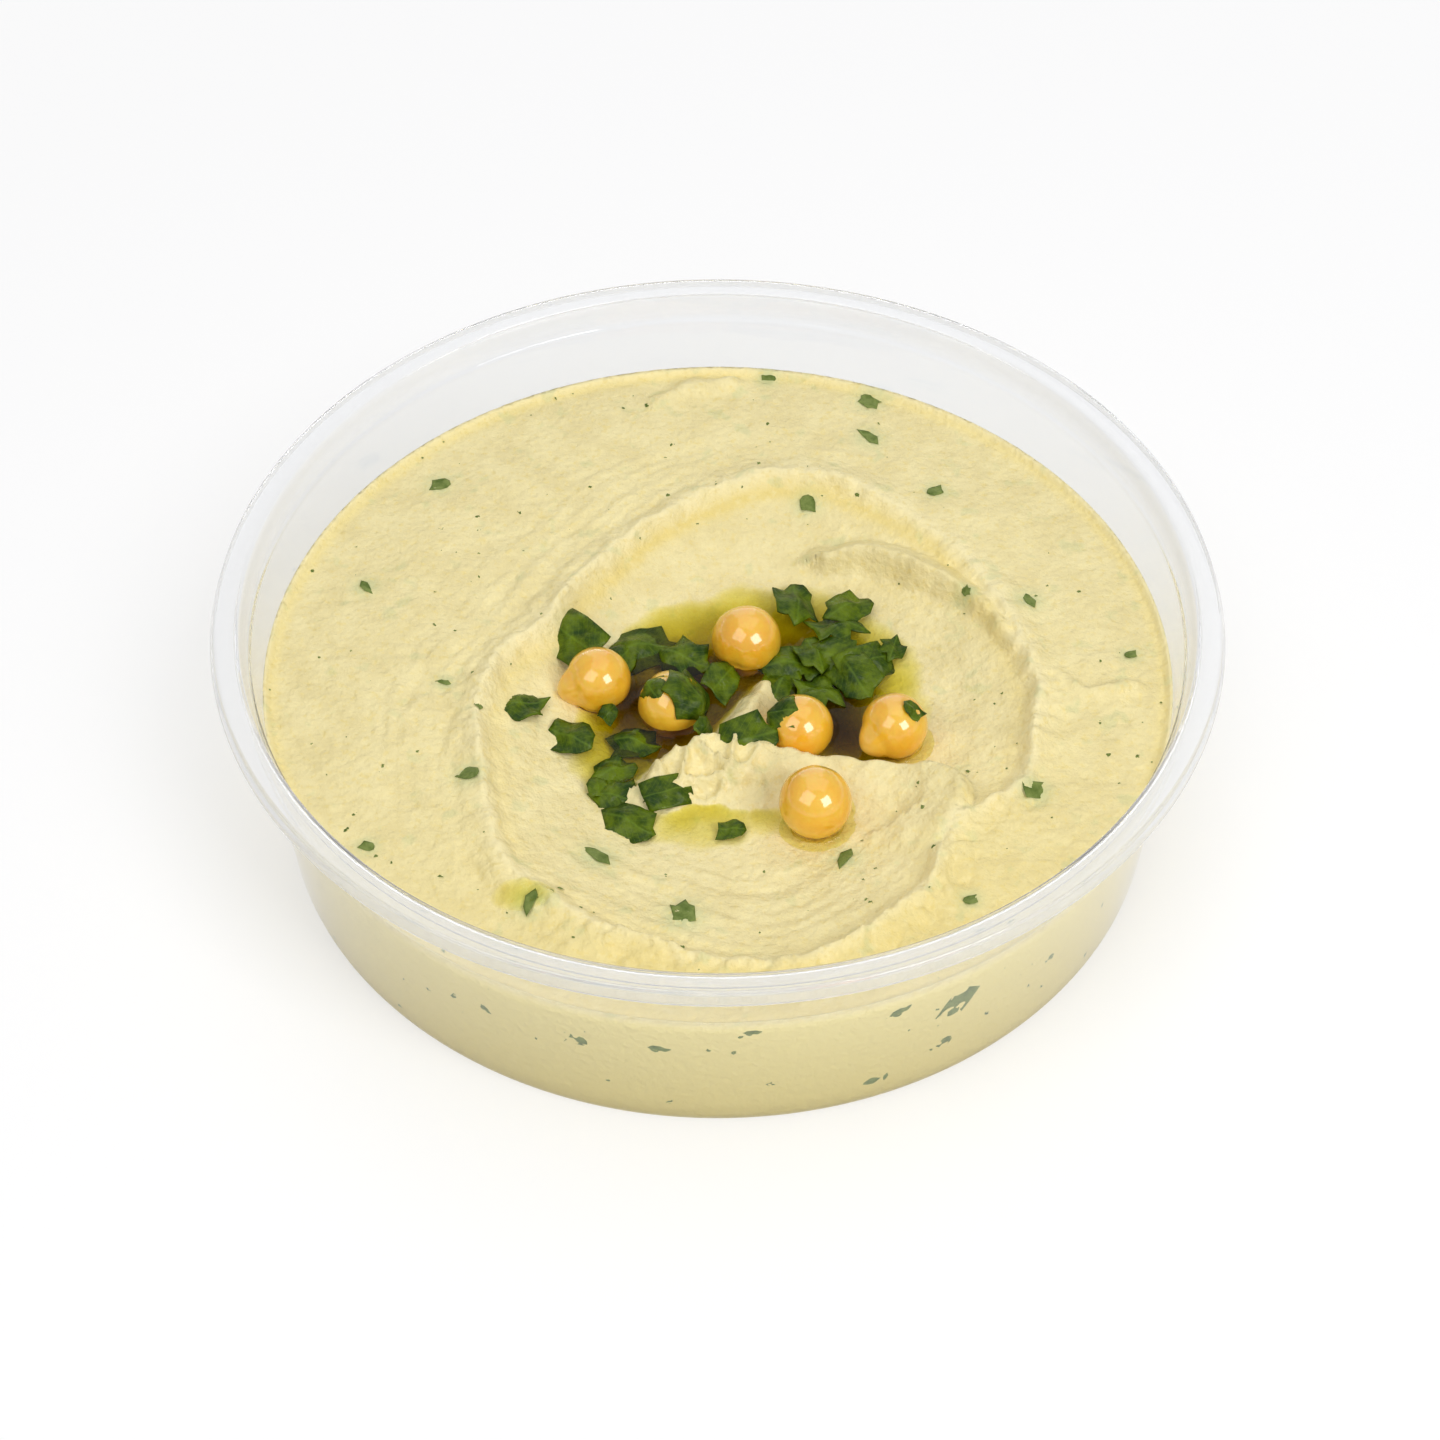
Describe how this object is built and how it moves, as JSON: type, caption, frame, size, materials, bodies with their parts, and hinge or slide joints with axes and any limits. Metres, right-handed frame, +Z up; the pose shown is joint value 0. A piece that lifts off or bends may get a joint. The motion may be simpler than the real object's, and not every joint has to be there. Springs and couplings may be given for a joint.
{
  "type": "tub of hummus",
  "caption": "Shallow round clear tub of pale green-flecked hummus, its top swirled with a spoon around a well of olive oil with chickpeas.",
  "frame": {"origin": "centre of the tub's flat underside", "axes": "+Z up out of the tub's mouth, -Y towards the viewer of the swirl, +X to the viewer's right"},
  "size_m": [0.1244, 0.1244, 0.0328],
  "materials": {
    "clear_plastic": "clear thermoformed plastic, glossy",
    "hummus": "moist pale yellow-green paste with herb flecks, softly glossy",
    "olive_oil": "clear yellow-green oil, wet gloss",
    "chickpea": "cooked chickpea skin, wet",
    "parsley": "chopped flat-leaf parsley, dark green, slightly shiny"
  },
  "bodies": {
    "root": {"tub": "clear_plastic", "hummus": "hummus", "oil_pool": "olive_oil", "chickpea_back": "chickpea", "chickpea_left": "chickpea", "chickpea_sunk": "chickpea", "chickpea_middle": "chickpea", "chickpea_right": "chickpea", "chickpea_front": "chickpea"}
  },
  "joints": []
}
